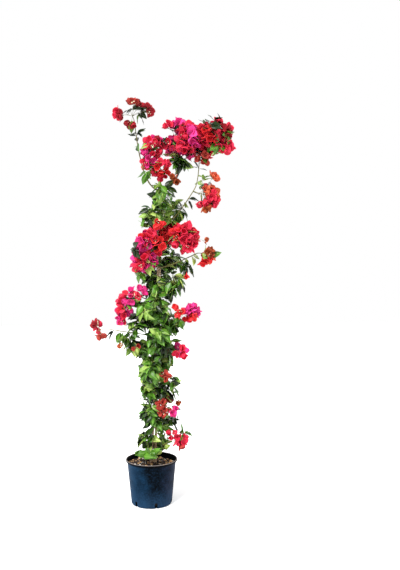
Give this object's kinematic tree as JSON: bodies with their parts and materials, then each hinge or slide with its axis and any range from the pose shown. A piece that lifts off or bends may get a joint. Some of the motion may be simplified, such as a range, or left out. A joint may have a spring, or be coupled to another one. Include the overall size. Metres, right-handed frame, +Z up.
{
  "type": "potted bougainvillea bush",
  "caption": "Tall slender flowering climber grown upright in a round tapered nursery pot, with a leafy column, a spreading flowering crown and flowering side shoots.",
  "frame": {"origin": "centre of the pot's flat underside", "axes": "+Z up along the plant, -Y towards its front, +X towards the side its crown leans to"},
  "size_m": [0.6591, 0.2595, 1.871],
  "materials": {
    "pot": "dusty dark blue-black moulded plastic",
    "potting_mix": "dry loose bark mix",
    "bark": "pale ridged bark",
    "bough_bark": "green young bark",
    "leaves": "soft leaf",
    "bracts": "papery bract"
  },
  "bodies": {
    "root": {"pot": "pot", "soil": "potting_mix", "trunk": "bark", "second_stem": "bark", "bough_top_left": "bough_bark", "bough_crown": "bough_bark", "bough_crown_right": "bough_bark", "bough_loop_low": "bough_bark", "bough_loop_top": "bough_bark", "bough_mid_right": "bough_bark", "bough_mid_sprig": "bough_bark", "bough_low_left": "bough_bark", "bough_far_left": "bough_bark", "bough_low_right": "bough_bark", "bough_small_right": "bough_bark", "bough_base_right": "bough_bark", "leaves_base_front": "leaves", "leaves_base_back": "leaves", "leaves_foot_left": "leaves", "leaves_foot_back": "leaves", "leaves_shin_front": "leaves", "leaves_knee_left": "leaves", "leaves_knee_right": "leaves", "leaves_waist_front": "leaves", "leaves_waist_back": "leaves", "leaves_low_left": "leaves", "leaves_low_front": "leaves", "leaves_low_right": "leaves", "leaves_low_back": "leaves", "leaves_ribs_front": "leaves", "leaves_ribs_right": "leaves", "leaves_ribs_back": "leaves", "leaves_mid_right": "leaves", "leaves_neck_right": "leaves", "leaves_neck_left": "leaves", "leaves_head_front": "leaves", "leaves_under_crown": "leaves", "bracts_tip": "bracts", "bracts_left_crown": "bracts", "bracts_left_low": "bracts", "bracts_crown_left": "bracts", "bracts_crown_front": "bracts", "bracts_crown_back": "bracts", "bracts_crown_middle": "bracts", "bracts_crown_right": "bracts", "bracts_crown_low": "bracts", "bracts_under_crown": "bracts", "bracts_hanging": "bracts", "bracts_mid_left": "bracts", "bracts_mid_left_low": "bracts", "bracts_mid_right": "bracts", "bracts_mid_sprig": "bracts", "bracts_mid_back": "bracts", "bracts_low_left": "bracts", "bracts_far_left": "bracts", "bracts_low_right": "bracts", "bracts_small_right": "bracts", "bracts_low_front": "bracts", "bracts_base_right": "bracts"}
  },
  "joints": []
}
